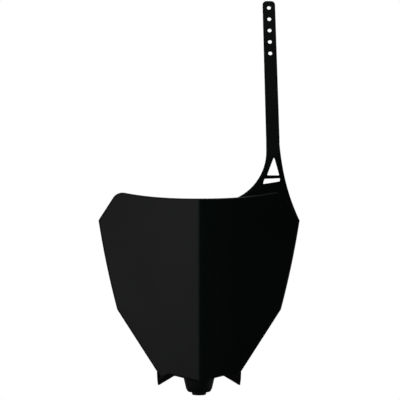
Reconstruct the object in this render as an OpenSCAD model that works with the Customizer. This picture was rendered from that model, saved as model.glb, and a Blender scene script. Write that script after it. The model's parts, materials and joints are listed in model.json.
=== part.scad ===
// Motocross front number plate, moulded in one piece with its strap.
// Millimetres. Z is up and follows the crease, the plate's face looks along -Y.
// The origin is the bolt hole's centre on the underside of the lower boss.

/* [Plate face] */

// Widest part of the plate, from side corner to side corner
plate_w = 240.6; // [210:0.2:262]
// Width between the two rounded top corners
top_w = 195; // [175:1:205]
// Height of the top edge at the crease
top_z = 232; // [215:1:250]
// How far the top edge climbs from the crease to its corners
top_rise = 8.6; // [2:0.2:14]
// Height of the two side corners
side_z = 206; // [190:1:210]
// Radius of the two top corners
top_corner_r = 12.8; // [5:0.2:16]
// Width where the long sides break inward
break_w = 195; // [180:1:204]
// Height where the long sides break inward
break_z = 100; // [85:1:115]
// How far the long sides bow outward between their corners
side_bow = 1.45; // [0.2:0.05:4]
// Width of the plate's foot, at the two horns
foot_w = 89.2; // [86:0.2:96]
// Height of the lower edge at the crease
foot_z = 17.2; // [14:0.2:20]

/* [Shape in plan] */

// Angle of each wing to the front, measured at the crease
crease_angle = 15; // [12:0.5:18]
// Radius to which each wing bulges forward
wing_r = 1000; // [700:10:1500]
// Radius of the crease
crease_r = 6; // [4.5:0.5:9]
// Distance from the crease back to the bolt hole
boss_back = 20; // [19.4:0.1:22]

/* [Wall] */

// Thickness of the face
skin_t = 2.5; // [2:0.1:3.2]
// Depth of the lip that is turned back all round
lip_depth = 8; // [6:0.5:10]
// Thickness of that lip
lip_t = 2; // [1.6:0.1:2.6]

/* [Strap] */

// Strap width at its foot, seen from the front
strap_w = 16.2; // [15:0.1:18]
// Strap width at its tip
strap_tip_w = 15.6; // [14:0.1:17]
// Strap thickness
strap_t = 2.6; // [2.2:0.1:3.4]
// Angle at which the strap leans back from the plate
strap_lean = 23; // [17:1:32]
// Height of the strap's tip
strap_top_z = 477; // [440:1:520]
// Radius of the corners of the strap's tip
strap_tip_r = 5; // [3:0.1:7]
// Distance from the plate's side corner in to the middle of the strap's foot
strap_in = 32; // [31:0.1:33.2]
// How far the strap runs inward from there to its tip
strap_drift = 2; // [0:0.1:4]
// Diameter of each strap hole
strap_hole_d = 4.8; // [4.5:0.1:6.4]
// Height from the strap's tip down to its first hole
strap_hole_in = 9; // [8:0.2:30]
// Height from one strap hole to the next
strap_hole_step = 14.6; // [11:0.1:14.8]

/* [Strap root] */

// Radius of the hollow curve on the root's inner side
root_in_r = 61.7; // [58:0.1:66]
// Inner radius of the bend that turns the root from the wing to the strap
root_bend_r = 40; // [25:1:50]
// Height above the plate's top edge at which that bend starts
root_bend_h = 24; // [20:0.5:28]
// Height of the window's pointed top above the plate's top edge
window_top_h = 49.8; // [42:0.2:52]
// Height of the window's base above the plate's top edge
window_base_h = 27.6; // [26.5:0.1:30]
// Height of the thin bar between window and slot
window_bar_h = 4.1; // [3.6:0.1:4.8]

/* [Lower bracket] */

// Radius of the bracket's cup at its floor
cup_r = 14.5; // [13.8:0.1:15.5]
// Growth of that radius for each millimetre of height
cup_slope = 0.235; // [0.18:0.005:0.26]
// Height of the underside of the cup's floor
cup_z = 3.7; // [3:0.1:5]
// Wall thickness of the cup
cup_t = 2.3; // [1.8:0.1:2.8]
// Radius of the boss
boss_r = 8.5; // [7.5:0.1:9.5]
// Height of the boss
boss_h = 14; // [12:0.5:16]
// Diameter of the bolt hole
bolt_hole_d = 6.6; // [5.2:0.1:8.4]
// Thickness of the ribs behind the crease
rib_t = 2.2; // [1.6:0.1:2.8]
// Height of the upright rib behind the crease
rib_top_z = 52; // [42:1:70]
// Height of the horns' tips
horn_z = 11.7; // [8:0.2:13]
// Slope of the horns' front faces
horn_ramp = 45; // [35:1:50]

/* [Strap post] */

// Height of the post that the strap is hooked on
post_z = 219; // [212:1:222]
// Radius of the post's neck
post_neck_r = 2.1; // [1.8:0.1:3]
// Radius of the post's head
post_head_r = 3.6; // [3.4:0.1:5]
// How far the post stands behind the plate
post_len = 10; // [8:0.5:13]

/* [Hidden] */

$fn = 96;

colour = [0.06, 0.065, 0.063];
step_angle = 6;     // arc of each short edge on a rounded corner
far = 90;           // half the depth of a cut that goes right through

// The strap and its root keep their place on the plate's right shoulder.
strap_x = plate_w / 2 - strap_in;
root_bend_z = top_z + root_bend_h;
window_top_z = top_z + window_top_h;
window_base_z = top_z + window_base_h;

// Wing geometry: each wing is a drum of radius wing_r about an upright axis.
axis_x = -wing_r * sin(crease_angle);
axis_y = wing_r * cos(crease_angle) - boss_back;
function wing_y(x, depth) = axis_y - sqrt(pow(wing_r - depth, 2) - pow(abs(x) - axis_x, 2));
function wing_angle(x) = asin((x - axis_x) / wing_r);

// Crease nose: a small circle that meets both drums.
nose_gap = 0.03;
nose_reach = wing_r - crease_r + nose_gap;
nose_y = axis_y - sqrt(pow(nose_reach, 2) - pow(axis_x, 2));
nose_join = nose_y - crease_r * (axis_y - nose_y) / nose_reach;
function join_y(depth) = nose_y - (crease_r - depth) * (axis_y - nose_y) / nose_reach;

// Outline helpers. A corner is [x, z, radius], an outline runs anticlockwise.
function unit(v) = v / norm(v);
function flat(c) = [c[0], c[1]];
function side(v) = [-v[1], v[0]];
function turn(a, b) = atan2(a[0] * b[1] - a[1] * b[0], a * b);

function one_inset(p, q, s, d) =
    let (a = unit(flat(q) - flat(p)),
         b = unit(flat(s) - flat(q)),
         m = (side(a) + side(b)) / (1 + side(a) * side(b)),
         r = turn(a, b) > 0 ? max(q[2] - d, 0) : q[2] == 0 ? 0 : q[2] + d)
    [q[0] + d * m[0], q[1] + d * m[1], r];
function inset(c, d) =
    [for (i = [0:len(c) - 1])
        one_inset(c[(i + len(c) - 1) % len(c)], c[i], c[(i + 1) % len(c)], d)];

function one_round(p, q, s) =
    let (a = unit(flat(q) - flat(p)),
         b = unit(flat(s) - flat(q)),
         t = turn(a, b),
         reach = q[2] * tan(abs(t) / 2),
         start = flat(q) - reach * a,
         centre = start + side(a) * q[2] * sign(t),
         steps = ceil(abs(t) / step_angle))
    q[2] < 0.1 || abs(t) < 1 ? [flat(q)] :
    [for (k = [0:steps])
        let (w = k * t / steps, arm = start - centre)
        centre + [arm[0] * cos(w) - arm[1] * sin(w), arm[0] * sin(w) + arm[1] * cos(w)]];
function rounded(c) =
    [for (i = [0:len(c) - 1])
        each one_round(c[(i + len(c) - 1) % len(c)], c[i], c[(i + 1) % len(c)])];
function with_mirror(c) =
    concat(c, [for (i = [len(c) - 1:-1:0]) if (c[i][0] > 0.01) [-c[i][0], c[i][1], c[i][2]]]);

// Right half of the plate's outline, from the crease's foot to its top.
side_x = plate_w / 2;
corner_x = top_w / 2;
corner_z = top_z + top_rise;
break_x = break_w / 2;
foot_x = foot_w / 2;
low_slope = (break_x - foot_x) / (break_z - foot_z - 3);
function bowed(f) =
    let (a = [break_x, break_z], b = [side_x, side_z], n = -side(unit(b - a)))
    a + (b - a) * f + n * side_bow * 4 * f * (1 - f);
function top_edge(x) = top_z + top_rise * pow(abs(x) / corner_x, 2.4);

side_steps = 8;
top_steps = 9;
plate_corners = with_mirror(concat(
    [[0, foot_z, 0],
     [29.5, foot_z + 6.2, 3],
     [foot_x - 8.3, foot_z + 7.7, 2],
     [foot_x, foot_z + 3, 0.6],
     [break_x, break_z, 4]],
    [for (k = [1:side_steps - 1])
        let (p = bowed(k / side_steps)) [p[0], p[1], 0]],
    [[side_x, side_z, 2],
     [corner_x, corner_z, top_corner_r]],
    [for (k = [top_steps:-1:0])
        let (x = (corner_x - top_corner_r) * k / top_steps) [x, top_edge(x), 0]]));

// Solids cut to an outline drawn in the front view.
module seen_from_front() {
    rotate([90, 0, 0])
        translate([0, 0, -2 * far])
            linear_extrude(height = 3 * far)
                children();
}

// Plan of everything behind the face, once the face is moved back by depth.
module behind(depth) {
    intersection() {
        translate([axis_x, axis_y]) circle(r = wing_r - depth);
        translate([-axis_x, axis_y]) circle(r = wing_r - depth);
        union() {
            translate([-2 * far, depth < crease_r ? join_y(depth) : -2 * far])
                square([4 * far, 4 * far]);
            if (depth < crease_r)
                translate([0, nose_y]) circle(r = crease_r - depth);
        }
    }
}

module behind_solid(depth) {
    translate([0, 0, -5])
        linear_extrude(height = 260)
            behind(depth);
}

module wall_band(from_depth, to_depth) {
    translate([0, 0, -5])
        linear_extrude(height = 260)
            difference() {
                behind(from_depth);
                behind(to_depth);
            }
}

// Face and lip: a thick folded slab, hollowed from behind.
module face() {
    difference() {
        intersection() {
            wall_band(0, lip_depth);
            seen_from_front() polygon(rounded(plate_corners));
        }
        intersection() {
            behind_solid(skin_t);
            seen_from_front() polygon(rounded(inset(plate_corners, lip_t)));
        }
    }
}

// Strap and root, drawn in the front view.
strap_foot_z = top_z + 69;
function strap_mid(z) = strap_x - strap_drift * (z - strap_foot_z) / (strap_top_z - strap_foot_z);

// The root's inner curve turns upright just below the strap's foot.
in_x = strap_x - strap_w / 2 - 0.1 - root_in_r;
in_z = top_z + 56.8;
// The outer curve passes through the strap's foot and ends at the side corner.
out_a = [strap_x + strap_w / 2 - 0.1, top_z + 64];
out_b = [side_x - 0.7, side_z + 1];
out_sag = 4.3;
out_steps = 12;
function out_curve(f) =
    let (n = side(unit(out_a - out_b)))
    out_b + (out_a - out_b) * f + n * out_sag * 4 * f * (1 - f);

strap_corners = concat(
    [for (k = [0:out_steps]) let (p = out_curve(k / out_steps)) [p[0], p[1], 0]],
    [[strap_mid(strap_foot_z + 6) + strap_w / 2, strap_foot_z + 6, 0],
     [strap_mid(strap_top_z) + strap_tip_w / 2, strap_top_z, strap_tip_r],
     [strap_mid(strap_top_z) - strap_tip_w / 2, strap_top_z, strap_tip_r],
     [strap_mid(strap_foot_z) - strap_w / 2, strap_foot_z, 0]],
    [for (a = [0:-step_angle:-66])
        [in_x + root_in_r * cos(a), in_z + root_in_r * sin(a), 0]],
    [[corner_x / 2, top_z - 12, 0],
     [side_x - 14, side_z - 3, 0]]);

// Window and slot: the strap's end is passed through the slot.
slot_top_z = window_base_z - window_bar_h;
window_corners = [
    [strap_x - 7.5, window_base_z, 0.8],
    [strap_x + 7.1, window_base_z, 0.8],
    [strap_x + 1, window_top_z, 0.7]];
slot_corners = [
    [strap_x - 12.5, slot_top_z - 6.3, 0.8],
    [strap_x + 7.6, slot_top_z - 3.1, 1.6],
    [strap_x + 8.1, slot_top_z + 0.6, 0.7],
    [strap_x - 10.6, slot_top_z - 0.2, 0.7]];

module strap_outline() {
    difference() {
        polygon(rounded(strap_corners));
        polygon(rounded(inset(plate_corners, lip_t - 0.4)));
        polygon(rounded(window_corners));
        polygon(rounded(slot_corners));
    }
}

// The root lies against the wing. A drum-shaped bend, about an axis that slants
// up across the root, turns it to face straight ahead and lean back as the strap.
root_angle = wing_angle(strap_x);
root_y = wing_y(strap_x, skin_t);
bend_slant = atan(sin(root_angle) / tan(strap_lean));
bend_angle = acos(cos(root_angle) * cos(strap_lean));
outer_r = root_bend_r + strap_t;
module at_root() {
    translate([strap_x, root_y, root_bend_z])
        rotate([0, 0, root_angle])
            rotate([0, -bend_slant, 0])
                children();
}

sheet_x0 = -75;
sheet_w = 1.5 * (strap_top_z - root_bend_z);
sheet_h = 1.3 * (strap_top_z - root_bend_z);
module bend_profile() {
    translate([0, -85]) square([strap_t, 85]);
    intersection() {
        translate([outer_r, 0])
            difference() {
                circle(r = outer_r);
                circle(r = root_bend_r);
            }
        polygon([[outer_r, 0], [outer_r - 100, 0],
                 [outer_r - 100 * cos(bend_angle), 100 * sin(bend_angle)]]);
    }
    translate([outer_r, 0])
        rotate(-bend_angle)
            translate([-outer_r, 0])
                square([strap_t, sheet_h]);
}

module strap_sheet() {
    at_root()
        translate([sheet_x0, 0, 0])
            rotate([90, 0, 90])
                linear_extrude(height = sheet_w)
                    bend_profile();
}

// The strap's middle layer runs straight on from the bend's end.
mid_r = outer_r - strap_t / 2;
end_back = outer_r - mid_r * cos(bend_angle);
end_up = mid_r * sin(bend_angle);
end_y = root_y - end_up * sin(bend_slant) * sin(root_angle) + end_back * cos(root_angle);
end_z = root_bend_z + end_up * cos(bend_slant);
function strap_y(z) = end_y + (z - end_z) * tan(strap_lean);

module strap_holes() {
    for (k = [0:4]) {
        z = strap_top_z - strap_hole_in - k * strap_hole_step;
        translate([strap_mid(z), strap_y(z), z])
            rotate([90 - strap_lean, 0, 0])
                cylinder(d = strap_hole_d, h = strap_t + 4, center = true);
    }
}

module strap() {
    difference() {
        intersection() {
            strap_sheet();
            seen_from_front() strap_outline();
        }
        strap_holes();
    }
}

// Horns: a sloping front face below the plate's foot, and a wedge outside it.
horn_x = foot_x + 4;
horn_corners = [
    [29.5, foot_z + 5.4, 2],
    [horn_x - 1.6, horn_z - 0.2, 0],
    [horn_x, horn_z, 0],
    [horn_x + 0.9, foot_z + 2.4, 0],
    [horn_x + 1.2, foot_z + 10, 0],
    [foot_x + 0.9, foot_z + 8.2, 0],
    [foot_x - 0.9, foot_z + 5.4, 0],
    [foot_x - 8, foot_z + 9.2, 0],
    [27, foot_z + 7.2, 0]];
horn_angle = wing_angle(foot_x - 4);
module horn() {
    intersection() {
        union() {
            translate([foot_x - 8.3, wing_y(foot_x - 8.3, 0.8), foot_z + 7.7])
                rotate([0, 0, horn_angle])
                    rotate([0, 30, 0])
                        rotate([horn_ramp, 0, 0])
                            translate([-16, 0, -16])
                                cube([40, 2.2, 17]);
            translate([0, 0, 5])
                linear_extrude(height = 25)
                    polygon([
                        [horn_x + 2, wing_y(horn_x, 1)],
                        [horn_x + 2, wing_y(horn_x, lip_depth + 2)],
                        [horn_x - 4.4, wing_y(horn_x - 4.4, lip_depth + 2)]]);
        }
        wall_band(0.6, lip_depth + 1);
        seen_from_front() polygon(rounded(horn_corners));
    }
}

// Lower bracket: half a cup behind the crease, with a boss for one bolt.
function cup_at(z) = cup_r + cup_slope * (z - cup_z);
cup_top = 44;
module cup_form(top) {
    rotate_extrude()
        polygon([[0, cup_z], [cup_r - 2.2, cup_z], [cup_r - 1.1, cup_z + 0.6],
                 [cup_r - 0.4, cup_z + 1.6], [cup_at(cup_z + 4), cup_z + 4],
                 [cup_at(top), top], [0, top]]);
}

module cup() {
    intersection() {
        difference() {
            cup_form(cup_top);
            translate([0, 0, cup_z + cup_t])
                cylinder(r1 = cup_at(cup_z + cup_t) - cup_t - 0.4,
                         r2 = cup_at(cup_top + 1) - cup_t,
                         h = cup_top + 1 - cup_z - cup_t);
        }
        behind_solid(skin_t / 2);
        translate([-30, 0, 0])
            rotate([90, 0, 90])
                linear_extrude(height = 60)
                    polygon([[-30, 0], [9, 0], [9, 12], [-11, 40], [-30, 40]]);
    }
}

module ribs() {
    intersection() {
        union() {
            translate([-rib_t / 2, 0, 0])
                rotate([90, 0, 90])
                    linear_extrude(height = rib_t)
                        polygon([[-30, cup_z], [-6, cup_z], [-6, boss_h - 2], [-11, boss_h],
                                 [4 - boss_back, rib_top_z], [-30, rib_top_z]]);
            translate([-30, -rib_t / 2, cup_z])
                cube([60, rib_t, boss_h - 5 - cup_z]);
        }
        behind_solid(skin_t / 2);
        translate([0, 0, -0.01])
            cup_form(rib_top_z + 1);
    }
}

module boss() {
    rotate_extrude()
        polygon([[0, 0], [boss_r - 1.4, 0], [boss_r - 0.4, 0.4], [boss_r, 1.4],
                 [boss_r, boss_h], [0, boss_h]]);
}

// Post with a head, behind the wing under the strap's root.
module post() {
    intersection() {
        translate([strap_x - 1, wing_y(strap_x - 1, skin_t / 2), post_z])
            rotate([-90, 0, 0])
                rotate_extrude()
                    polygon([[0, -3], [post_neck_r + 2.4, -3], [post_neck_r + 2.4, 3],
                             [post_neck_r, 4.8], [post_neck_r, post_len - 2.4],
                             [post_head_r, post_len - 1.6],
                             [post_head_r - 0.3, post_len - 0.4],
                             [post_neck_r - 0.2, post_len + 0.6], [0, post_len + 0.6]]);
        behind_solid(skin_t / 2);
    }
}

module number_plate() {
    color(colour)
        difference() {
            union() {
                face();
                strap();
                horn();
                mirror([1, 0, 0]) horn();
                cup();
                ribs();
                boss();
                post();
            }
            translate([0, 0, -1])
                cylinder(d = bolt_hole_d, h = boss_h + 2);
        }
}

number_plate();
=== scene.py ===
import json
from math import acos, asin, atan, atan2, cos, pi, radians, sin, sqrt, tan

import bmesh
import bpy
from mathutils import Matrix, Vector

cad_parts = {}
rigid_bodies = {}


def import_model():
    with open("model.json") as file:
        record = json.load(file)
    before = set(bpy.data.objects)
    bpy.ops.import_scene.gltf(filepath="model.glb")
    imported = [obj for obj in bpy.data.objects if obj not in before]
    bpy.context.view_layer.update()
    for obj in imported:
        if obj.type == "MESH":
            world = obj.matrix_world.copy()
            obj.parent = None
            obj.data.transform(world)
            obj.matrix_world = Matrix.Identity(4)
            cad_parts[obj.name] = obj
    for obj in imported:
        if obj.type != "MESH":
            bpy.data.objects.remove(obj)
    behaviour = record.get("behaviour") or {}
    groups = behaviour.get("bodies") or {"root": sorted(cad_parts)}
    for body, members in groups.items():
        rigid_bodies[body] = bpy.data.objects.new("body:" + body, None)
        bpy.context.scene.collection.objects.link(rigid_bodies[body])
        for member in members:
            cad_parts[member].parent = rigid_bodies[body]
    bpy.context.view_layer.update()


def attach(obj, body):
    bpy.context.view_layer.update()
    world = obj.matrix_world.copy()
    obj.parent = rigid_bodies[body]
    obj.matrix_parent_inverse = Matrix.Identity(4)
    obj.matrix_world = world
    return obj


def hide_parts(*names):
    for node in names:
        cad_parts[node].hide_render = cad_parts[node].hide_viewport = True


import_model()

bl_info = {
    "name": "Motocross number plate",
    "version": (1, 0, 0),
    "blender": (4, 5, 0),
    "location": "View3D > Sidebar > Number plate",
    "description": "Builds a moulded front number plate with its strap, finish and studio",
    "category": "Object",
}

NODE = "number_plate"
MM = 0.001


# Settings

def length(name, millimetres, text):
    """A length that a user can change, in metres."""
    return bpy.props.FloatProperty(
        name=name, description=text, default=millimetres * MM, min=0.0,
        precision=5, subtype="DISTANCE", unit="LENGTH")


def angle(name, degrees, text):
    """An angle that a user can change."""
    return bpy.props.FloatProperty(
        name=name, description=text, default=radians(degrees),
        subtype="ANGLE", unit="ROTATION")


def share(name, value, text):
    """A share from nothing to all."""
    return bpy.props.FloatProperty(
        name=name, description=text, default=value, min=0.0, max=1.0,
        subtype="FACTOR")


def colour(name, value, text):
    """A linear colour."""
    return bpy.props.FloatVectorProperty(
        name=name, description=text, default=value, size=3, min=0.0, max=1.0,
        subtype="COLOR")


class PlateSizes(bpy.types.PropertyGroup):
    """Sizes of the folded face and its lip."""

    plate_w: length("Plate width", 240.6, "From side corner to side corner")
    top_w: length("Top width", 195, "Between the two rounded top corners")
    top_z: length("Top height", 232, "Height of the top edge at the crease")
    top_rise: length("Top rise", 8.6, "Climb of the top edge to its corners")
    top_corner_r: length("Top corner radius", 12.8, "Rounding of the top corners")
    side_z: length("Side height", 206, "Height of the side corners")
    side_bow: length("Side bow", 1.45, "How far the long sides bow outward")
    break_w: length("Break width", 195, "Width where the long sides break inward")
    break_z: length("Break height", 100, "Height where the long sides break inward")
    foot_w: length("Foot width", 89.2, "Width of the foot at the horns")
    foot_z: length("Foot height", 17.2, "Height of the lower edge at the crease")
    foot_rise: length("Foot corner rise", 3, "Height of the foot's corner above the lower edge")
    notch_x: length("Notch place", 29.5, "From the crease to the notch beside the cup")
    notch_rise: length("Notch rise", 6.2, "Height of the notch above the lower edge")
    horn_in: length("Horn inset", 8.3, "From the foot's corner in to the horn's root")
    horn_rise: length("Horn rise", 7.7, "Height of the horn's root above the lower edge")
    crease: angle("Crease angle", 15, "Angle of each wing to the front at the crease")
    wing_r: length("Wing radius", 1000, "Radius to which each wing bulges")
    crease_r: length("Crease radius", 6, "Radius of the crease")
    boss_back: length("Boss setback", 20, "From the crease back to the bolt hole")
    skin_t: length("Skin", 2.5, "Thickness of the face")
    lip_depth: length("Lip depth", 8, "Depth of the lip turned back all round")
    lip_t: length("Lip thickness", 2, "Thickness of that lip")
    rim_round: length("Rim rounding", 1.9, "Rounding of the face's outer edge")
    back_round: length("Back rounding", 0.5, "Rounding of the lip's back edges")
    pocket_round: length("Pocket fillet", 0.9, "Fillet between face and lip")


class StrapSizes(bpy.types.PropertyGroup):
    """Sizes of the strap and its root."""

    strap_in: length("Strap inset", 32, "From the side corner in to the strap")
    strap_w: length("Strap width", 16.2, "Width at its foot")
    tip_w: length("Tip width", 15.6, "Width at its tip")
    strap_t: length("Strap thickness", 2.6, "Thickness of strap and root")
    foot_h: length("Strap foot", 69, "Start of the straight strap above the top edge")
    lean: angle("Strap lean", 23, "Angle at which the strap leans back")
    tip_z: length("Tip height", 477, "Height of the strap's tip")
    tip_r: length("Tip corner radius", 5, "Rounding of the tip's corners")
    drift: length("Strap drift", 2, "Run inward from foot to tip")
    hole_d: length("Hole diameter", 4.8, "Diameter of each strap hole")
    hole_in: length("Hole inset", 9, "Height from the tip to the first hole")
    hole_step: length("Hole step", 14.6, "Height from hole to hole")
    inner_r: length("Root curve", 61.7, "Radius of the root's inner side")
    bend_r: length("Bend radius", 40, "Inner radius of the root's bend")
    bend_h: length("Bend height", 24, "Start of the bend above the top edge")
    window_top_h: length("Window top", 49.8, "Window's point above the top edge")
    window_base_h: length("Window base", 27.6, "Window's base above the top edge")
    bar_h: length("Window bar", 4.1, "Bar between window and slot")
    strap_round: length("Strap rounding", 0.6, "Rounding of the strap's edges")
    post_z: length("Post height", 219, "Height of the strap's post")
    post_len: length("Post length", 10, "How far the post stands back")
    post_neck_r: length("Post neck", 2.1, "Radius of the post's neck")
    post_head_r: length("Post head", 3.6, "Radius of the post's head")


class BracketSizes(bpy.types.PropertyGroup):
    """Sizes of the lower bracket and the horns."""

    cup_r: length("Cup radius", 14.5, "Radius of the cup at its floor")
    cup_slope: bpy.props.FloatProperty(
        name="Cup slope", default=0.235,
        description="Growth of that radius for each unit of height")
    cup_z: length("Cup height", 3.7, "Height of the cup's underside")
    cup_t: length("Cup wall", 2.3, "Wall thickness of the cup")
    cup_top: length("Cup top", 44, "Height at which the cup's wall ends")
    boss_r: length("Boss radius", 8.5, "Radius of the boss")
    boss_h: length("Boss height", 14, "Height of the boss")
    bolt_d: length("Bolt hole", 6.6, "Diameter of the bolt hole")
    rib_t: length("Rib", 2.2, "Thickness of the ribs")
    rib_top: length("Rib top", 52, "Height of the upright rib")
    horn_z: length("Horn height", 11.7, "Height of the horns' tips")
    horn_ramp: angle("Horn ramp", 45, "Slope of the horns' front faces")


class PlateFinish(bpy.types.PropertyGroup):
    """Colours and finish of the moulding and the studio."""

    plastic: colour("Plastic", (0.0006, 0.0016, 0.0013), "Colour of the moulding")
    worn: colour("Worn edge", (0.0036, 0.0056, 0.0048), "Colour of rubbed edges")
    rough: share("Roughness", 0.40, "Roughness of the satin surface")
    grain: length("Grain depth", 0.016, "Depth of the mould's fine grain")
    floor: colour("Floor", (0.86, 0.86, 0.86), "Colour of the studio floor")


# Form

TOP_CURVE = 2.4


class Form:
    """Places on the folded face and the bent strap, in metres."""

    def __init__(self, scene):
        self.p = scene.plate_sizes
        self.s = scene.strap_sizes
        self.b = scene.bracket_sizes
        p, s = self.p, self.s
        self.axis_x = -p.wing_r * sin(p.crease)
        self.axis_y = p.wing_r * cos(p.crease) - p.boss_back
        self.reach = p.wing_r - p.crease_r
        self.nose_y = self.axis_y - sqrt(self.reach ** 2 - self.axis_x ** 2)
        self.side_x, self.foot_x = p.plate_w / 2, p.foot_w / 2
        self.strap_x = self.side_x - s.strap_in
        self.strap_foot = p.top_z + s.foot_h
        self.sheet_frame()

    def wing_y(self, x, depth=0.0):
        """Depth coordinate of the face, or of a layer behind it."""
        p, x = self.p, abs(x)
        r = p.crease_r - depth
        if r > 0 and x < r * -self.axis_x / self.reach:
            return self.nose_y - sqrt(r * r - x * x)
        return self.axis_y - sqrt((p.wing_r - depth) ** 2 - (x - self.axis_x) ** 2)

    def wing_angle(self, x):
        """Angle by which the right wing stands back at a place."""
        return asin((x - self.axis_x) / self.p.wing_r)

    def top_edge(self, x):
        """Height of the top edge, which climbs from the crease to its corners."""
        p = self.p
        return p.top_z + p.top_rise * (x / (p.top_w / 2)) ** TOP_CURVE

    def sheet_frame(self):
        """The slanted drum bend between the root and the strap."""
        s, x = self.s, self.strap_x
        yaw = self.wing_angle(x)
        slant = atan(sin(yaw) / tan(s.lean))
        self.bend = acos(cos(yaw) * cos(s.lean))
        self.outer = s.bend_r + s.strap_t
        self.turned = Matrix.Rotation(yaw, 3, "Z") @ Matrix.Rotation(-slant, 3, "Y")
        self.start = Vector((x, self.wing_y(x, self.p.skin_t), self.p.top_z + s.bend_h))
        self.drum = self.start + self.turned @ Vector((0, self.outer, 0))

    def bend_point(self, turn, radius):
        """A point of the bend, a turn along it, on a drum of that radius."""
        arm = Vector((0, -radius * cos(turn), radius * sin(turn)))
        return self.drum + self.turned @ arm

    def sheet_y(self, x, z, depth=0.0):
        """Depth coordinate of root, bend and strap at a place in the front view."""
        radius = self.outer - depth
        found = None
        axis = self.turned @ Vector((1, 0, 0))
        gap = Vector((x, 0, z)) - self.drum
        run = Vector((0, 1, 0))
        flat_gap, flat_run = gap - axis * gap.dot(axis), run - axis * run.dot(axis)
        a, b = flat_run.dot(flat_run), flat_gap.dot(flat_run)
        root = b * b - a * (flat_gap.dot(flat_gap) - radius ** 2)
        if root > 0:
            y = (-b - sqrt(root)) / a
            local = self.turned.transposed() @ (Vector((x, y, z)) - self.drum)
            found = atan2(local.z, -local.y), y
        if found and 0 <= found[0] <= self.bend:
            return found[1]
        ends = []
        for turn in (0.0, self.bend):
            normal = self.turned @ Vector((0, cos(turn), -sin(turn)))
            point = self.bend_point(turn, radius)
            ends.append(point.y - (normal.x * (x - point.x) + normal.z * (z - point.z)) / normal.y)
        return max(ends)

    def strap_mid(self, z):
        """Middle of the strap at a height."""
        s = self.s
        run = (z - self.strap_foot) / (s.tip_z - self.strap_foot)
        return self.strap_x - s.drift * run


def arc(centre, radius, start, end, steps):
    """Points of an arc in the front view, ends included."""
    turns = [start + (end - start) * k / steps for k in range(steps + 1)]
    return [(centre[0] + radius * cos(t), centre[1] + radius * sin(t)) for t in turns]


def bowed(start, end, bow, steps):
    """Points between two ends of a shallow bow, ends left out."""
    (ax, az), (bx, bz) = start, end
    run = Vector((bx - ax, bz - az)).normalized()
    points = []
    for k in range(1, steps):
        f = k / steps
        out = bow * 4 * f * (1 - f)
        points.append((ax + (bx - ax) * f + run.y * out, az + (bz - az) * f - run.x * out))
    return points


# Mesh tools

FRONT, WALL, RIM, INNER, FLOOR = 1, 2, 3, 4, 5
STRIP_W = 7.5 * MM
TOP_STEPS = 9
BEND_STEPS = 16
HOLES = 5
HORN_OUT = 4 * MM


def face_from(bm, points):
    """One face in the front view from its corner points."""
    return bm.faces.new([bm.verts.new((x, 0.0, z)) for x, z in points])


def cut(bm, point, normal, clear=False):
    """Cuts the whole mesh along a plane, and may clear what lies beyond it."""
    return bmesh.ops.bisect_plane(
        bm, geom=bm.verts[:] + bm.edges[:] + bm.faces[:], dist=1e-7,
        plane_co=point, plane_no=normal, clear_outer=clear)


def trim(bm, point, normal):
    """Cuts a closed solid along a plane, clears what lies beyond and closes it."""
    made = cut(bm, point, normal, clear=True)
    rim = [e for e in made["geom_cut"] if isinstance(e, bmesh.types.BMEdge)]
    if rim:
        bmesh.ops.edgenet_fill(bm, edges=rim)


def bevel(bm, edges, width, segments=3, clamp=False):
    """Rounds edges."""
    if edges:
        bmesh.ops.bevel(
            bm, geom=edges, offset=width, offset_type="OFFSET", affect="EDGES",
            segments=segments, profile=0.5, material=-1, clamp_overlap=clamp,
            loop_slide=True, miter_outer="SHARP", miter_inner="SHARP")


def round_corner(bm, vert, radius, segments):
    """Rounds one corner of a flat face."""
    a, b = [e.other_vert(vert).co - vert.co for e in vert.link_edges]
    turn = pi - a.angle(b)
    bmesh.ops.bevel(
        bm, geom=[vert], offset=radius * tan(turn / 2), offset_type="OFFSET",
        affect="VERTICES", segments=segments, profile=0.5, material=-1)


def sharp_edges(bm, least):
    """Edges at which the surface turns by more than an angle."""
    bm.normal_update()
    return [e for e in bm.edges if len(e.link_faces) == 2
            and e.calc_face_angle(0.0) > least]


def close_up(bm, gap=1e-6):
    """Merges doubles and points every face outward."""
    bmesh.ops.remove_doubles(bm, verts=bm.verts, dist=gap)
    bmesh.ops.recalc_face_normals(bm, faces=bm.faces)


def spin_profile(bm, points, steps, axis="Z", centre=(0, 0, 0), closed=True):
    """Turns a profile of (radius, height) points into a round form."""
    place = (lambda r, h: (r, 0, h)) if axis == "Z" else (lambda r, h: (r, h, 0))
    verts = [bm.verts.new(Vector(place(r, h)) + Vector(centre)) for r, h in points]
    edges = [bm.edges.new(pair) for pair in zip(verts, verts[1:] + (verts[:1] if closed else []))]
    turn_about = (0, 0, 1) if axis == "Z" else (0, 1, 0)
    bmesh.ops.spin(
        bm, geom=verts + edges, cent=centre, axis=turn_about, dvec=(0, 0, 0),
        angle=2 * pi, steps=steps, use_merge=True, use_duplicate=False)
    close_up(bm)


def draw_out(bm, face, run):
    """Extrudes one face into a closed solid."""
    made = bmesh.ops.extrude_face_region(bm, geom=[face], use_keep_orig=True)
    bmesh.ops.translate(
        bm, vec=run, verts=[v for v in made["geom"] if isinstance(v, bmesh.types.BMVert)])
    close_up(bm, 1e-8)


def keep(bm, name):
    """Stores a finished form as an object until the forms are joined."""
    mesh = bpy.data.meshes.new(name)
    bm.to_mesh(mesh)
    bm.free()
    obj = bpy.data.objects.new(name, mesh)
    bpy.context.scene.collection.objects.link(obj)
    return obj


# Operators

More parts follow.
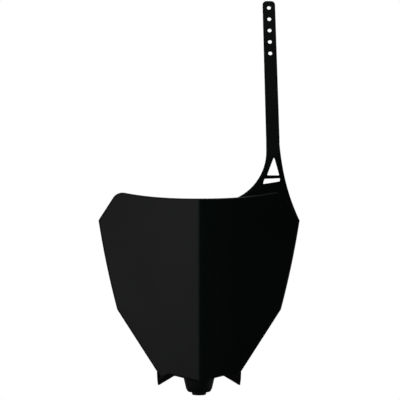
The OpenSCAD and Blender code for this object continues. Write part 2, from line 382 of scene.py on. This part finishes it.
def face_outline(form):
    """The plate's outline with the radius of each corner."""
    p = form.p
    foot, side, high = form.foot_x, form.side_x, p.top_z + p.top_rise
    points = [
        ((0, p.foot_z), 0), ((p.notch_x, p.foot_z + p.notch_rise), 3 * MM),
        ((foot - p.horn_in, p.foot_z + p.horn_rise), 2 * MM),
        ((foot, p.foot_z + p.foot_rise), 0.8 * MM), ((p.break_w / 2, p.break_z), 4 * MM)]
    points += [(q, 0) for q in bowed((p.break_w / 2, p.break_z), (side, p.side_z), p.side_bow, 8)]
    points += [((side, p.side_z), 2 * MM), ((p.top_w / 2, high), p.top_corner_r)]
    for k in range(TOP_STEPS, -1, -1):
        x = (p.top_w / 2 - p.top_corner_r) * k / TOP_STEPS
        points.append(((x, form.top_edge(x)), 0))
    return points + [((-x, z), r) for (x, z), r in reversed(points) if x > 0]


def inset_points(outline, distance):
    """Corner points of an outline moved inward."""
    points = [Vector(corner) for corner, _ in outline]
    moved = []
    for k, q in enumerate(points):
        a = (q - points[k - 1]).normalized()
        b = (points[(k + 1) % len(points)] - q).normalized()
        inward = Vector((-a.y - b.y, a.x + b.x))
        moved.append(tuple(q + inward * distance / (1 + a.dot(b))))
    return moved


class PLATE_OT_face(bpy.types.Operator):
    """Fold the face and turn its lip back"""

    bl_idname = "plate.face"
    bl_label = "Face and lip"

    def execute(self, context):
        form = Form(context.scene)
        p = form.p
        bm = bmesh.new()
        layer = bm.faces.layers.int.new("part")
        rings = []
        for inset in (0.0, p.lip_t, p.lip_t + p.pocket_round + 0.4 * MM):
            bmesh.ops.delete(bm, geom=bm.faces[:], context="FACES_ONLY")
            blank = face_from(bm, inset_points(face_outline(form), inset))
            for vert, (_, radius) in zip(list(blank.verts), face_outline(form)):
                if radius:
                    self.round_loop(bm, vert, radius, inset)
            rings.append(list(next(iter(bm.faces)).verts))
        lip = self.band(bm, rings[0], rings[1])
        self.band(bm, rings[1], rings[2])
        for face in bm.faces:
            face[layer] = FLOOR
        for face in lip:
            face[layer] = RIM
        front = set(bm.faces)
        back = self.pushed(bm, list(front), p.lip_depth, keep_first=True)
        pocket = [f for f in back if f[layer] == FLOOR]
        for face in bm.faces:
            if face in front:
                face[layer] = FRONT
            elif face not in back:
                face[layer] = WALL
        floor = self.pushed(bm, pocket, p.skin_t, keep_first=False)
        for face in bm.faces:
            if face[layer] == FLOOR and face not in floor:
                face[layer] = INNER
        bmesh.ops.recalc_face_normals(bm, faces=bm.faces)
        for pair, width, segments in (
                ((FRONT, WALL), p.rim_round, 4), ((WALL, RIM), p.back_round, 2),
                ((RIM, INNER), p.back_round, 2), ((INNER, FLOOR), p.pocket_round, 3)):
            wanted = [e for e in bm.edges if len(e.link_faces) == 2
                      and {f[layer] for f in e.link_faces} == set(pair)]
            bevel(bm, wanted, width, segments)
        self.fold(bm, form)
        keep(bm, "face_form")
        return {"FINISHED"}

    def fold(self, bm, form):
        """Cuts the flat form into upright strips and folds it along the crease."""
        nose = form.p.crease_r * -form.axis_x / form.reach
        strips = [k * STRIP_W for k in range(1, 16)]
        for x in [0, nose / 3, nose * 2 / 3, nose, 4 * MM] + strips:
            cut(bm, (x, 0, 0), (1, 0, 0))
            cut(bm, (-x, 0, 0), (1, 0, 0))
        for vert in bm.verts:
            vert.co.y = form.wing_y(vert.co.x, vert.co.y)
        close_up(bm, 1e-7)

    def round_loop(self, bm, vert, radius, inset):
        """Rounds a corner of a loop that lies further in than the outline."""
        bm.normal_update()
        hollow = not vert.link_loops[0].is_convex
        inner = radius + inset if hollow else max(radius - inset, 0.25 * MM)
        round_corner(bm, vert, inner, 8 if radius > 10 * MM else 4)

    def band(self, bm, outer, inner):
        """Joins two rings of as many corners with a band of faces."""
        start = min(range(len(inner)), key=lambda k: (inner[k].co - outer[0].co).length)
        inner = inner[start:] + inner[:start]
        return [bm.faces.new((outer[k - 1], outer[k], inner[k], inner[k - 1]))
                for k in range(len(outer))]

    def pushed(self, bm, faces, depth, keep_first):
        """Extrudes faces to another depth behind the front; returns the new ones."""
        made = bmesh.ops.extrude_face_region(bm, geom=faces, use_keep_orig=keep_first)
        if not keep_first:
            bmesh.ops.delete(bm, geom=[f for f in faces if f.is_valid], context="FACES")
        new = made["geom"]
        for vert in (v for v in new if isinstance(v, bmesh.types.BMVert)):
            vert.co.y = depth
        return {f for f in new if isinstance(f, bmesh.types.BMFace)}


class PLATE_OT_strap(bpy.types.Operator):
    """Bend the strap out of its root and punch its openings"""

    bl_idname = "plate.strap"
    bl_label = "Strap and root"

    def execute(self, context):
        form = Form(context.scene)
        s = form.s
        bm = bmesh.new()
        blank = face_from(bm, self.outline(form))
        for vert in list(blank.verts):
            if vert.co.z > s.tip_z - 1e-6:
                round_corner(bm, vert, s.tip_r, 8)
        self.punch(bm, form)
        made = bmesh.ops.extrude_face_region(bm, geom=bm.faces[:], use_keep_orig=True)
        for vert in (v for v in made["geom"] if isinstance(v, bmesh.types.BMVert)):
            vert.co.y = s.strap_t
        close_up(bm, 1e-8)
        bevel(bm, sharp_edges(bm, radians(50)), s.strap_round, 3)
        axis = form.turned @ Vector((1, 0, 0))
        for k in range(BEND_STEPS + 1):
            point = form.bend_point(form.bend * k / BEND_STEPS, form.outer)
            cut(bm, (point.x, 0, point.z), (-axis.z, 0, axis.x))
        for vert in bm.verts:
            vert.co.y = form.sheet_y(vert.co.x, vert.co.z, vert.co.y)
        close_up(bm, 1e-7)
        keep(bm, "strap_form")
        return {"FINISHED"}

    def outline(self, form):
        """The strap's outline, down to where it runs into the plate's lip."""
        p, s = form.p, form.s
        side, high = form.side_x, p.top_z + p.top_rise
        foot, x = form.strap_foot, form.strap_x
        start = (side - 0.7 * MM, p.side_z + 1 * MM)
        end = (x + s.strap_w / 2 - 0.1 * MM, p.top_z + 64 * MM)
        points = [start] + bowed(start, end, -4.3 * MM, 12) + [end]
        points.append((form.strap_mid(foot + 6 * MM) + s.strap_w / 2, foot + 6 * MM))
        middle = form.strap_mid(s.tip_z)
        points += [(middle + s.tip_w / 2, s.tip_z), (middle - s.tip_w / 2, s.tip_z)]
        points.append((form.strap_mid(foot) - s.strap_w / 2, foot))
        centre = (x - s.strap_w / 2 - 0.1 * MM - s.inner_r, p.top_z + 56.8 * MM)
        points += arc(centre, s.inner_r, 0, radians(-66), 14)
        inset = 1.6 * MM
        for k in range(5, TOP_STEPS + 1):
            along = (p.top_w / 2 - p.top_corner_r) * k / TOP_STEPS
            points.append((along, form.top_edge(along) - inset))
        points += [(p.top_w / 2 - 4 * MM, high - 4.2 * MM), (side - 2.2 * MM, p.side_z + 0.2 * MM)]
        return points

    def punch(self, bm, form):
        """Cuts window, slot and holes, fills the sheet round them and keeps a margin to round."""
        p, s = form.p, form.s
        x, base = form.strap_x, p.top_z + s.window_base_h
        low = base - s.bar_h
        windows = [
            [(x - 7.5 * MM, base), (x + 7.1 * MM, base), (x + 1 * MM, p.top_z + s.window_top_h)],
            [(x - 12.5 * MM, low - 6.3 * MM), (x + 7.6 * MM, low - 3.1 * MM),
             (x + 8.1 * MM, low + 0.6 * MM), (x - 10.6 * MM, low - 0.2 * MM)]]
        bmesh.ops.delete(bm, geom=bm.faces[:], context="FACES_ONLY")
        for corners in windows:
            face = face_from(bm, corners)
            for vert in list(face.verts):
                round_corner(bm, vert, 0.8 * MM, 3)
        squeeze = cos(s.lean)
        for k in range(HOLES):
            z = s.tip_z - s.hole_in - k * s.hole_step
            bmesh.ops.create_circle(
                bm, cap_ends=True, segments=32, radius=s.hole_d / 2,
                matrix=Matrix.Translation((form.strap_mid(z), 0, z))
                @ Matrix.Diagonal((1, 1, squeeze, 1)) @ Matrix.Rotation(pi / 2, 4, "X"))
        bmesh.ops.delete(bm, geom=bm.faces[:], context="FACES_ONLY")
        bmesh.ops.triangle_fill(
            bm, edges=bm.edges[:], use_beauty=True, use_dissolve=False, normal=(0, -1, 0))
        bmesh.ops.recalc_face_normals(bm, faces=bm.faces)
        bmesh.ops.inset_region(
            bm, faces=bm.faces[:], thickness=s.strap_round + 0.2 * MM,
            use_even_offset=True, use_boundary=True)


class PLATE_OT_bracket(bpy.types.Operator):
    """Spin the half cup and its boss, and stand the ribs between them"""

    bl_idname = "plate.bracket"
    bl_label = "Lower bracket"

    def execute(self, context):
        form = Form(context.scene)
        b = form.b
        bm = bmesh.new()
        self.cup(bm, form)
        keep(bm, "cup_form")
        bm = bmesh.new()
        bore, r, h = b.bolt_d / 2, b.boss_r, b.boss_h
        spin_profile(bm, [
            (bore, 0.3 * MM), (bore + 0.3 * MM, 0), (r - 1.4 * MM, 0), (r - 0.4 * MM, 0.4 * MM),
            (r, 1.4 * MM), (r, h - 0.6 * MM), (r - 0.2 * MM, h - 0.2 * MM), (r - 0.6 * MM, h),
            (bore + 0.3 * MM, h), (bore, h - 0.3 * MM)], 64)
        keep(bm, "boss_form")
        self.ribs(form)
        return {"FINISHED"}

    def cup(self, bm, form):
        """The half cup: a spun shell, cut open at the back and thickened inward."""
        b = form.b
        wide = lambda z: b.cup_r + b.cup_slope * (z - b.cup_z)
        floor = [(b.boss_r - 1 * MM, b.cup_z), (b.cup_r - 2.2 * MM, b.cup_z),
                 (b.cup_r - 1.5 * MM, b.cup_z + 0.25 * MM), (b.cup_r - 0.9 * MM, b.cup_z + 0.8 * MM),
                 (b.cup_r - 0.35 * MM, b.cup_z + 1.7 * MM)]
        walls = [(wide(z), z) for z in [b.cup_z + (4 + 3.3 * k) * MM for k in range(12)]]
        walls.append((wide(b.cup_top), b.cup_top))
        spin_profile(bm, floor + walls, 96, closed=False)
        for point, normal in (
                ((0, 9 * MM, 0), (0, 1, 0)),
                ((0, 9 * MM, 12 * MM), (0, 28, 20)),
                ((0, 0, 40 * MM), (0, 0, 1))):
            cut(bm, point, normal, clear=True)
        bmesh.ops.recalc_face_normals(bm, faces=bm.faces)
        low = min(bm.faces, key=lambda f: f.calc_center_median().z)
        if low.normal.z > 0:
            bmesh.ops.reverse_faces(bm, faces=bm.faces)
        bmesh.ops.solidify(bm, geom=bm.faces[:], thickness=b.cup_t)
        close_up(bm, 1e-8)
        for vert in bm.verts:
            vert.co.y = max(vert.co.y, form.wing_y(vert.co.x, form.p.skin_t * 0.45))

    def ribs(self, form):
        """The upright rib behind the crease and the cross rib in the cup."""
        b, p = form.b, form.p
        bm = bmesh.new()
        skin = form.wing_y(0, 1.2 * MM)
        side = [(-13.0 * MM, 4.4 * MM), (-6 * MM, 4.4 * MM), (-6 * MM, b.boss_h - 2 * MM),
                (-11 * MM, b.boss_h), (4 * MM - p.boss_back, b.rib_top), (skin, b.rib_top),
                (skin, 21 * MM), (-16.6 * MM, 15 * MM), (-13.9 * MM, 8 * MM)]
        face = bm.faces.new([bm.verts.new((-b.rib_t / 2, y, z)) for y, z in side])
        draw_out(bm, face, (b.rib_t, 0, 0))
        bevel(bm, sharp_edges(bm, radians(50)), 0.3 * MM, 2)
        keep(bm, "rib_form")
        bm = bmesh.new()
        low, high = 4 * MM, b.boss_h - 5 * MM
        bmesh.ops.create_cube(bm, size=1, matrix=Matrix.Translation((0, 0, (low + high) / 2))
                              @ Matrix.Diagonal((29.6 * MM, b.rib_t, high - low, 1)))
        for vert in bm.verts:
            if vert.co.z < (low + high) / 2:
                vert.co.x *= 0.88
        bevel(bm, sharp_edges(bm, radians(50)), 0.3 * MM, 2)
        keep(bm, "cross_rib_form")


class PLATE_OT_horns(bpy.types.Operator):
    """Cut both horns at the plate's foot"""

    bl_idname = "plate.horns"
    bl_label = "Horns"

    def execute(self, context):
        form = Form(context.scene)
        p, b = form.p, form.b
        foot, tip_x = form.foot_x, form.foot_x + HORN_OUT
        yaw = form.wing_angle(foot - 4 * MM)
        away = Vector((-sin(yaw), cos(yaw), 0))
        near_at = Vector((foot - 4 * MM, form.wing_y(foot - 4 * MM, 0.6 * MM), 0))
        far_at = Vector((foot - 4 * MM, form.wing_y(foot - 4 * MM, p.lip_depth + 1 * MM), 0))
        tip_side = (tip_x + 1.2 * MM, p.foot_z + 10 * MM)
        corners = [(p.notch_x, p.foot_z + 5.4 * MM), (tip_x - 1.6 * MM, b.horn_z - 0.2 * MM),
                   (tip_x, b.horn_z), (tip_x + 0.9 * MM, p.foot_z + 2.4 * MM), tip_side]
        ramp_top = ((foot - 8 * MM, p.foot_z + 9.2 * MM), (27 * MM, p.foot_z + 7.2 * MM))
        wedge_top = (tip_side, (foot - 0.9 * MM, p.foot_z + 5.4 * MM))
        for name, make, top in (("ramp", self.ramp, ramp_top), ("wedge", self.wedge, wedge_top)):
            bm = bmesh.new()
            make(bm, form)
            for (ax, az), (bx, bz) in [*zip(corners, corners[1:]), top]:
                trim(bm, (ax, 0, az), Vector((bz - az, 0, ax - bx)).normalized())
            trim(bm, near_at, -away)
            trim(bm, far_at, away)
            close_up(bm, 1e-7)
            bevel(bm, sharp_edges(bm, radians(25)), 0.3 * MM, 2, clamp=True)
            bmesh.ops.mirror(
                bm, geom=bm.verts[:] + bm.edges[:] + bm.faces[:], matrix=Matrix.Identity(4),
                merge_dist=1e-7, axis="X")
            bmesh.ops.recalc_face_normals(bm, faces=bm.faces)
            keep(bm, "horn_" + name + "_form")
        return {"FINISHED"}

    def ramp(self, bm, form):
        """A board under the foot's corner that slopes back and down to the horn's tip."""
        p, b = form.p, form.b
        root = form.foot_x - p.horn_in
        origin = Vector((root, form.wing_y(root, 0.8 * MM), p.foot_z + p.horn_rise))
        yaw = form.wing_angle(form.foot_x - 4 * MM)
        turn = (Matrix.Rotation(yaw, 4, "Z") @ Matrix.Rotation(radians(30), 4, "Y")
                @ Matrix.Rotation(b.horn_ramp, 4, "X"))
        block = Matrix.Translation((4 * MM, 1.1 * MM, -7.5 * MM)) @ Matrix.Diagonal(
            (40 * MM, 2.2 * MM, 17 * MM, 1))
        bmesh.ops.create_cube(bm, size=1, matrix=Matrix.Translation(origin) @ turn @ block)

    def wedge(self, bm, form):
        """An upright three-sided post, the horn's outer tongue."""
        deep = form.p.lip_depth + 2 * MM
        tip_x = form.foot_x + HORN_OUT
        inner_x = tip_x - 4.4 * MM
        plan = [(tip_x + 2 * MM, form.wing_y(tip_x, 1 * MM)),
                (tip_x + 2 * MM, form.wing_y(tip_x, deep)),
                (inner_x, form.wing_y(inner_x, deep))]
        face = bm.faces.new([bm.verts.new((x, y, 5 * MM)) for x, y in plan])
        draw_out(bm, face, (0, 0, 25 * MM))


class PLATE_OT_post(bpy.types.Operator):
    """Spin the post that the strap's holes hook on"""

    bl_idname = "plate.post"
    bl_label = "Strap post"

    def execute(self, context):
        form = Form(context.scene)
        s = form.s
        x = form.strap_x - 1 * MM
        n, h, end = s.post_neck_r, s.post_head_r, s.post_len
        bm = bmesh.new()
        spin_profile(bm, [
            (0, -0.4 * MM), (n + 2.4 * MM, -0.4 * MM), (n + 2.4 * MM, 3 * MM), (n + 1.1 * MM, 3.6 * MM),
            (n + 0.3 * MM, 4.3 * MM), (n, 5.2 * MM), (n, end - 2.6 * MM), (n + 0.3 * MM, end - 2.3 * MM),
            (h - 0.2 * MM, end - 1.8 * MM), (h, end - 1.5 * MM), (h - 0.3 * MM, end - 0.4 * MM),
            (n - 0.2 * MM, end + 0.5 * MM), (n - 0.7 * MM, end + 0.6 * MM), (0, end + 0.6 * MM)],
            48, axis="Y", centre=(x, form.wing_y(x, 1.25 * MM), s.post_z), closed=False)
        for vert in bm.verts:
            vert.co.y = max(vert.co.y, form.wing_y(vert.co.x, 1.0 * MM))
        keep(bm, "post_form")
        return {"FINISHED"}


class PLATE_OT_join(bpy.types.Operator):
    """Join the forms into the one moulded piece"""

    bl_idname = "plate.join"
    bl_label = "Join the moulding"

    def execute(self, context):
        forms = [o for o in context.scene.objects if o.name.endswith("_form")]
        bm = bmesh.new()
        for obj in forms:
            bm.from_mesh(obj.data)
        layer = bm.faces.layers.int.get("part")
        if layer:
            bm.faces.layers.int.remove(layer)
        for face in bm.faces:
            face.smooth = True
        plate = keep(bm, "moulded_plate")
        plate.data.set_sharp_from_angle(angle=radians(38))
        for obj in forms:
            mesh = obj.data
            bpy.data.objects.remove(obj)
            bpy.data.meshes.remove(mesh)
        plate.data.materials.append(satin_plastic(context.scene.plate_finish))
        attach(plate, "root")
        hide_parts(NODE)
        return {"FINISHED"}


# Finish

def new_group(name, inputs, outputs):
    """An empty shader group with named sockets."""
    group = bpy.data.node_groups.new(name, "ShaderNodeTree")
    for socket, kind, value in inputs:
        made = group.interface.new_socket(socket, in_out="INPUT", socket_type=kind)
        if value is not None:
            made.default_value = value
    for socket, kind in outputs:
        group.interface.new_socket(socket, in_out="OUTPUT", socket_type=kind)
    return group, group.nodes.new("NodeGroupInput"), group.nodes.new("NodeGroupOutput")


def add(tree, kind, values=(), **settings):
    """A node with its settings and socket values."""
    node = tree.nodes.new(kind)
    for key, value in settings.items():
        setattr(node, key, value)
    for key, value in dict(values).items():
        node.inputs[key].default_value = value
    return node


def wire(tree, *pairs):
    """Links outputs to inputs."""
    for out, into in pairs:
        tree.links.new(out, into)


def grain_group():
    """Fine grain of the mould's surface."""
    group, given, gives = new_group(
        "Mould grain", [("Grain size", "NodeSocketFloat", 0.0005)],
        [("Height", "NodeSocketFloat")])
    where = add(group, "ShaderNodeTexCoord")
    scale = add(group, "ShaderNodeMath", {0: 1.0}, operation="DIVIDE")
    fine = add(group, "ShaderNodeTexNoise", {"Detail": 3.0, "Roughness": 0.55})
    cells = add(group, "ShaderNodeTexVoronoi", feature="SMOOTH_F1")
    mix = add(group, "ShaderNodeMix", {0: 0.45}, data_type="FLOAT")
    wire(group, (given.outputs["Grain size"], scale.inputs[1]),
         (where.outputs["Object"], fine.inputs["Vector"]),
         (where.outputs["Object"], cells.inputs["Vector"]),
         (scale.outputs[0], fine.inputs["Scale"]), (scale.outputs[0], cells.inputs["Scale"]),
         (fine.outputs["Fac"], mix.inputs["A"]), (cells.outputs["Distance"], mix.inputs["B"]),
         (mix.outputs["Result"], gives.inputs["Height"]))
    return group


def edge_group():
    """Rounded shading of edges and a mask of where they are rubbed."""
    group, given, gives = new_group(
        "Rubbed edges",
        [("Rounding", "NodeSocketFloat", 0.0018), ("Patch size", "NodeSocketFloat", 0.012)],
        [("Normal", "NodeSocketVector"), ("Mask", "NodeSocketFloat")])
    soft = add(group, "ShaderNodeBevel", samples=6)
    true = add(group, "ShaderNodeNewGeometry")
    dot = add(group, "ShaderNodeVectorMath", operation="DOT_PRODUCT")
    edge = add(group, "ShaderNodeMapRange", {"From Min": 0.995, "From Max": 0.90})
    where = add(group, "ShaderNodeTexCoord")
    scale = add(group, "ShaderNodeMath", {0: 1.0}, operation="DIVIDE")
    patch = add(group, "ShaderNodeTexNoise", {"Detail": 4.0, "Roughness": 0.6})
    some = add(group, "ShaderNodeMapRange", {"From Min": 0.48, "From Max": 0.62})
    mask = add(group, "ShaderNodeMath", operation="MULTIPLY")
    wire(group, (given.outputs["Rounding"], soft.inputs["Radius"]),
         (soft.outputs["Normal"], gives.inputs["Normal"]),
         (soft.outputs["Normal"], dot.inputs[0]), (true.outputs["Normal"], dot.inputs[1]),
         (dot.outputs["Value"], edge.inputs["Value"]),
         (given.outputs["Patch size"], scale.inputs[1]),
         (where.outputs["Object"], patch.inputs["Vector"]), (scale.outputs[0], patch.inputs["Scale"]),
         (patch.outputs["Fac"], some.inputs["Value"]),
         (edge.outputs["Result"], mask.inputs[0]), (some.outputs["Result"], mask.inputs[1]),
         (mask.outputs[0], gives.inputs["Mask"]))
    return group


def drift_group():
    """Slow change of gloss and tone over the moulding."""
    group, given, gives = new_group(
        "Flow drift", [("Patch size", "NodeSocketFloat", 0.09)], [("Drift", "NodeSocketFloat")])
    where = add(group, "ShaderNodeTexCoord")
    stretch = add(group, "ShaderNodeMapping", {"Scale": (1.0, 1.0, 0.45)})
    scale = add(group, "ShaderNodeMath", {0: 1.0}, operation="DIVIDE")
    noise = add(group, "ShaderNodeTexNoise", {"Detail": 2.0, "Distortion": 0.6})
    wire(group, (where.outputs["Object"], stretch.inputs["Vector"]),
         (stretch.outputs["Vector"], noise.inputs["Vector"]),
         (given.outputs["Patch size"], scale.inputs[1]), (scale.outputs[0], noise.inputs["Scale"]),
         (noise.outputs["Fac"], gives.inputs["Drift"]))
    return group


def satin_plastic(finish):
    """Satin black polypropylene with a fine grain and lightly rubbed edges."""
    material = bpy.data.materials.new("satin_black_plastic")
    material.use_nodes = True
    tree = material.node_tree
    shader = tree.nodes["Principled BSDF"]
    shader.inputs["IOR"].default_value = 1.49
    grain = add(tree, "ShaderNodeGroup", node_tree=grain_group())
    edges = add(tree, "ShaderNodeGroup", node_tree=edge_group())
    drift = add(tree, "ShaderNodeGroup", node_tree=drift_group())
    tone = add(tree, "ShaderNodeMix", data_type="RGBA")
    tone.inputs["A"].default_value = (*finish.plastic, 1)
    tone.inputs["B"].default_value = (*[c * 1.25 for c in finish.plastic], 1)
    worn = add(tree, "ShaderNodeMix", data_type="RGBA")
    worn.inputs["B"].default_value = (*finish.worn, 1)
    rough = add(tree, "ShaderNodeMapRange", {
        "From Min": 0.3, "From Max": 0.7, "To Min": finish.rough - 0.03, "To Max": finish.rough + 0.05})
    bump = add(tree, "ShaderNodeBump", {"Strength": 0.35, "Distance": finish.grain})
    wire(tree, (drift.outputs["Drift"], tone.inputs["Factor"]),
         (tone.outputs["Result"], worn.inputs["A"]), (edges.outputs["Mask"], worn.inputs["Factor"]),
         (worn.outputs["Result"], shader.inputs["Base Color"]),
         (drift.outputs["Drift"], rough.inputs["Value"]),
         (rough.outputs["Result"], shader.inputs["Roughness"]),
         (grain.outputs["Height"], bump.inputs["Height"]),
         (edges.outputs["Normal"], bump.inputs["Normal"]),
         (bump.outputs["Normal"], shader.inputs["Normal"]))
    return material


# Studio

PLAIN = (1, 1, 1)
LAMPS = (
    ("left_softbox", (-1.02, -1.51, 0.34), (1.8, 1.3), 3.35, PLAIN),
    ("right_fill", (0.40, -1.78, 0.34), (0.25, 1.2), 0.5, (0.2, 1, 0.75)),
    ("crown_softbox", (0, -1.25, 1.5), (0.8, 0.6), 0.12, (0.75, 1, 0.9)),
    ("top_softbox", (0.1, 0.3, 1.7), (1.2, 1.0), 4, PLAIN),
    ("back_softbox", (-0.55, 1.7, 0.65), (0.9, 1.2), 10, PLAIN),
    ("low_left", (-1.64, -0.41, -0.40), (1.0, 0.7), 0.9, PLAIN),
    ("low_right", (1.68, 0.05, -0.40), (0.8, 0.7), 0.8, PLAIN))
LAMP_AIM = (0, 0, 0.2)
CAMERA_AT = (0.00113, -2.020, 0.23024)
CAMERA_LENS = 153.8
FLOOR_Z, FLOOR_R = -0.45, 2.6
FLOOR_IN_REFLECTIONS, FLOOR_GLOW = 0.06, 0.62
FADE_START, FADE_END = 1.0, 2.5
ROOM_LIGHT = 0.30
MIRROR_DARK, MIRROR_PALE = 0.006, 0.3


def softbox(name, place, size, watts, tint):
    """A rectangular lamp that looks at the plate's middle."""
    lamp = bpy.data.lights.new(name, "AREA")
    lamp.shape = "RECTANGLE"
    lamp.size, lamp.size_y = size
    lamp.energy = watts
    lamp.color = tint
    obj = bpy.data.objects.new(name, lamp)
    bpy.context.scene.collection.objects.link(obj)
    obj.visible_camera = False
    obj.location = place
    obj.rotation_euler = (Vector(LAMP_AIM) - Vector(place)).to_track_quat("-Z", "Y").to_euler()


class PLATE_OT_stage(bpy.types.Operator):
    """Set up the pale floor, the softboxes and the camera"""

    bl_idname = "plate.stage"
    bl_label = "Stage and camera"

    def execute(self, context):
        scene = context.scene
        self.floor(scene.plate_finish)
        self.world(scene)
        for lamp in LAMPS:
            softbox(*lamp)
        eye = bpy.data.cameras.new("camera")
        eye.sensor_width = 36
        eye.lens = CAMERA_LENS
        eye.clip_end = 50
        camera = bpy.data.objects.new("camera", eye)
        scene.collection.objects.link(camera)
        camera.location = CAMERA_AT
        camera.rotation_euler = (pi / 2, 0, 0)
        scene.camera = camera
        scene.view_settings.view_transform = "Standard"
        return {"FINISHED"}

    def floor(self, finish):
        """A round floor, white to the camera, dark in reflections and clear at its edge."""
        bm = bmesh.new()
        bmesh.ops.create_circle(bm, cap_ends=True, segments=96, radius=FLOOR_R,
                                matrix=Matrix.Translation((0, 0, FLOOR_Z)))
        floor = keep(bm, "floor")
        material = bpy.data.materials.new("floor_white")
        material.use_nodes = True
        tree = material.node_tree
        shader = tree.nodes["Principled BSDF"]
        shader.inputs["Roughness"].default_value = 0.9
        shader.inputs["Emission Color"].default_value = (1, 1, 1, 1)
        path = add(tree, "ShaderNodeLightPath")
        seen = add(tree, "ShaderNodeMix", data_type="RGBA")
        seen.inputs["A"].default_value = (*[FLOOR_IN_REFLECTIONS] * 3, 1)
        seen.inputs["B"].default_value = (*finish.floor, 1)
        glow = add(tree, "ShaderNodeMath", operation="MULTIPLY")
        glow.inputs[1].default_value = FLOOR_GLOW
        wire(tree, (path.outputs["Is Camera Ray"], seen.inputs["Factor"]),
             (seen.outputs["Result"], shader.inputs["Base Color"]),
             (path.outputs["Is Camera Ray"], glow.inputs[0]),
             (glow.outputs[0], shader.inputs["Emission Strength"]))
        where = add(tree, "ShaderNodeTexCoord")
        side = add(tree, "ShaderNodeNewGeometry")
        above = add(tree, "ShaderNodeMath", operation="SUBTRACT")
        above.inputs[0].default_value = 1.0
        shown = add(tree, "ShaderNodeMath", operation="MULTIPLY")
        far = add(tree, "ShaderNodeVectorMath", operation="LENGTH")
        fade = add(tree, "ShaderNodeMapRange", {
            "From Min": FADE_START, "From Max": FADE_END, "To Min": 1.0, "To Max": 0.0})
        wire(tree, (where.outputs["Object"], far.inputs[0]), (far.outputs["Value"], fade.inputs["Value"]),
             (side.outputs["Backfacing"], above.inputs[1]),
             (fade.outputs["Result"], shown.inputs[0]), (above.outputs[0], shown.inputs[1]),
             (shown.outputs[0], shader.inputs["Alpha"]))
        floor.data.materials.append(material)

    def world(self, scene):
        """White to the camera, even as light, and dark before the plate in reflections."""
        world = bpy.data.worlds.new("studio")
        scene.world = world
        world.use_nodes = True
        tree = world.node_tree
        tree.nodes.clear()
        out = add(tree, "ShaderNodeOutputWorld")
        path = add(tree, "ShaderNodeLightPath")
        where = add(tree, "ShaderNodeTexCoord")
        split = add(tree, "ShaderNodeSeparateXYZ")
        behind = add(tree, "ShaderNodeMapRange", {
            "From Min": 0.25, "From Max": 0.85, "To Min": MIRROR_DARK, "To Max": MIRROR_PALE},
            interpolation_type="SMOOTHSTEP")
        mirror = add(tree, "ShaderNodeBackground")
        room = add(tree, "ShaderNodeBackground", {"Color": (1, 1, 1, 1), "Strength": ROOM_LIGHT})
        white = add(tree, "ShaderNodeBackground", {"Color": (1, 1, 1, 1), "Strength": 1.0})
        for_gloss = add(tree, "ShaderNodeMixShader")
        for_eye = add(tree, "ShaderNodeMixShader")
        shown = add(tree, "ShaderNodeMath", operation="MAXIMUM")
        wire(tree, (where.outputs["Generated"], split.inputs[0]),
             (split.outputs["Y"], behind.inputs["Value"]),
             (behind.outputs["Result"], mirror.inputs["Strength"]),
             (path.outputs["Is Glossy Ray"], for_gloss.inputs[0]),
             (room.outputs[0], for_gloss.inputs[1]), (mirror.outputs[0], for_gloss.inputs[2]),
             (path.outputs["Is Camera Ray"], shown.inputs[0]),
             (path.outputs["Is Transmission Ray"], shown.inputs[1]),
             (shown.outputs[0], for_eye.inputs[0]),
             (for_gloss.outputs[0], for_eye.inputs[1]), (white.outputs[0], for_eye.inputs[2]),
             (for_eye.outputs[0], out.inputs["Surface"]))


class PLATE_PT_panel(bpy.types.Panel):
    """Lists the steps that build the plate"""

    bl_idname = "PLATE_PT_panel"
    bl_label = "Number plate"
    bl_space_type = "VIEW_3D"
    bl_region_type = "UI"
    bl_category = "Number plate"

    def draw(self, context):
        for operator in OPERATORS:
            self.layout.operator(operator.bl_idname)
        for group in SETTINGS:
            box = self.layout.box()
            for key in SETTINGS[group].__annotations__:
                box.prop(getattr(context.scene, group), key)


SETTINGS = {"plate_sizes": PlateSizes, "strap_sizes": StrapSizes,
            "bracket_sizes": BracketSizes, "plate_finish": PlateFinish}
OPERATORS = (PLATE_OT_face, PLATE_OT_strap, PLATE_OT_bracket, PLATE_OT_horns,
             PLATE_OT_post, PLATE_OT_join, PLATE_OT_stage)


def register():
    """Adds the settings, the operators and the panel."""
    for made in (*SETTINGS.values(), *OPERATORS, PLATE_PT_panel):
        bpy.utils.register_class(made)
    for name, made in SETTINGS.items():
        setattr(bpy.types.Scene, name, bpy.props.PointerProperty(type=made))


def unregister():
    """Takes them away again."""
    for name in SETTINGS:
        delattr(bpy.types.Scene, name)
    for made in (PLATE_PT_panel, *reversed(OPERATORS), *reversed(SETTINGS.values())):
        bpy.utils.unregister_class(made)


def main():
    register()
    bpy.ops.plate.face()
    bpy.ops.plate.strap()
    bpy.ops.plate.bracket()
    bpy.ops.plate.horns()
    bpy.ops.plate.post()
    bpy.ops.plate.join()
    bpy.ops.plate.stage()


if __name__ == "__main__":
    main()
